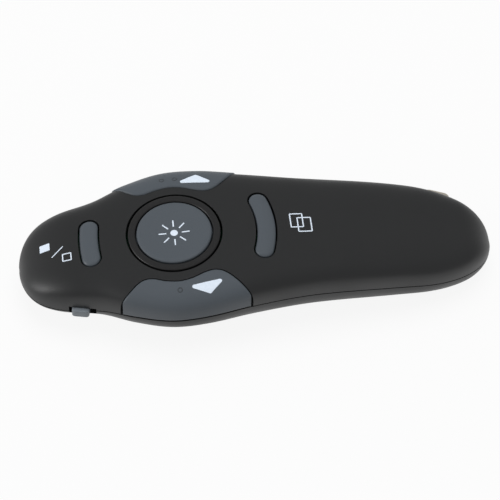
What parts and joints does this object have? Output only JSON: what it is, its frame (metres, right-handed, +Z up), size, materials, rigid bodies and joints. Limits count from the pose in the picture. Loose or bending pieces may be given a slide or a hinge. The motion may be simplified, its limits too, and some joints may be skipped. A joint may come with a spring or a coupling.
{
  "type": "wireless presentation clicker",
  "caption": "Hand-held wireless presentation clicker with a round laser button, crescent page buttons, bent bar buttons, a side power slider and a receiver stowed underneath.",
  "frame": {"origin": "on the table under the middle of the body, between nose and tail", "axes": "+X from the laser nose to the tail, +Y to the page-up button's side, +Z up through the round button"},
  "size_m": [0.13, 0.048, 0.022],
  "materials": {
    "black_abs": "fine matte texture",
    "bezel_black": "satin",
    "key_grey": "fine matte texture",
    "slider_grey": "matte",
    "dark_nylon": "matte",
    "zinc_steel": "bright zinc plate",
    "nickel_wire": "polished nickel plate",
    "fr4_board": "solder mask",
    "brass": "turned",
    "lens_glass": "clear",
    "tinted_glass": "tinted clear",
    "cell_jacket": "printed shrink sleeve, blank",
    "chip_epoxy": "moulded epoxy",
    "gold_contacts": "gold plate",
    "white_nylon": "matte"
  },
  "bodies": {
    "housing": {"top_shell": "black_abs", "bottom_shell": "black_abs", "button_bezel": "bezel_black", "slide_switch": "zinc_steel", "main_board": "fr4_board", "tact_switches": "zinc_steel", "laser_barrel": "brass", "laser_lens": "lens_glass", "nose_bush": "dark_nylon", "laser_window": "tinted_glass", "battery_left": "cell_jacket", "battery_right": "cell_jacket", "spring_contacts": "zinc_steel", "button_contacts": "zinc_steel", "radio_chip": "chip_epoxy", "crystal": "zinc_steel", "shell_screws": "zinc_steel", "strap_eyelet": "nickel_wire"},
    "laser_key": {"laser_button": "key_grey", "laser_plunger": "dark_nylon"},
    "page_up_key": {"page_up_button": "key_grey", "page_up_plunger": "dark_nylon"},
    "page_down_key": {"page_down_button": "key_grey", "page_down_plunger": "dark_nylon"},
    "blank_key": {"blank_screen_button": "key_grey", "blank_screen_plunger": "dark_nylon"},
    "window_key": {"window_button": "key_grey", "window_plunger": "dark_nylon"},
    "slider": {"power_slider": "slider_grey"},
    "cover": {"battery_cover": "black_abs"},
    "receiver": {"receiver_cap": "black_abs", "receiver_shield": "zinc_steel", "receiver_tongue": "white_nylon", "receiver_contacts": "gold_contacts"}
  },
  "joints": [
    {"name": "laser_press", "type": "slide", "parent": "housing", "child": "laser_key", "axis": [0.064, 0, -0.9979], "range_m": [0, 0.0004], "stiffness_N_per_m": 900, "springref_m": -0.0006},
    {"name": "page_up_press", "type": "slide", "parent": "housing", "child": "page_up_key", "axis": [0, 0, -1], "range_m": [0, 0.0004], "stiffness_N_per_m": 900, "springref_m": -0.0006},
    {"name": "page_down_press", "type": "slide", "parent": "housing", "child": "page_down_key", "axis": [0, 0, -1], "range_m": [0, 0.0004], "stiffness_N_per_m": 900, "springref_m": -0.0006},
    {"name": "blank_screen_press", "type": "slide", "parent": "housing", "child": "blank_key", "axis": [0, 0, -1], "range_m": [0, 0.0004], "stiffness_N_per_m": 900, "springref_m": -0.0006},
    {"name": "window_press", "type": "slide", "parent": "housing", "child": "window_key", "axis": [0, 0, -1], "range_m": [0, 0.0004], "stiffness_N_per_m": 900, "springref_m": -0.0006},
    {"name": "power_slide", "type": "slide", "parent": "housing", "child": "slider", "axis": [0.9807, -0.1955, 0], "range_m": [0, 0.0018]},
    {"name": "cover_slide", "type": "slide", "parent": "housing", "child": "cover", "axis": [1, 0, 0], "range_m": [0, 0.03]},
    {"name": "receiver_pull", "type": "slide", "parent": "housing", "child": "receiver", "axis": [0, 0, -1], "range_m": [0, 0.012]}
  ]
}
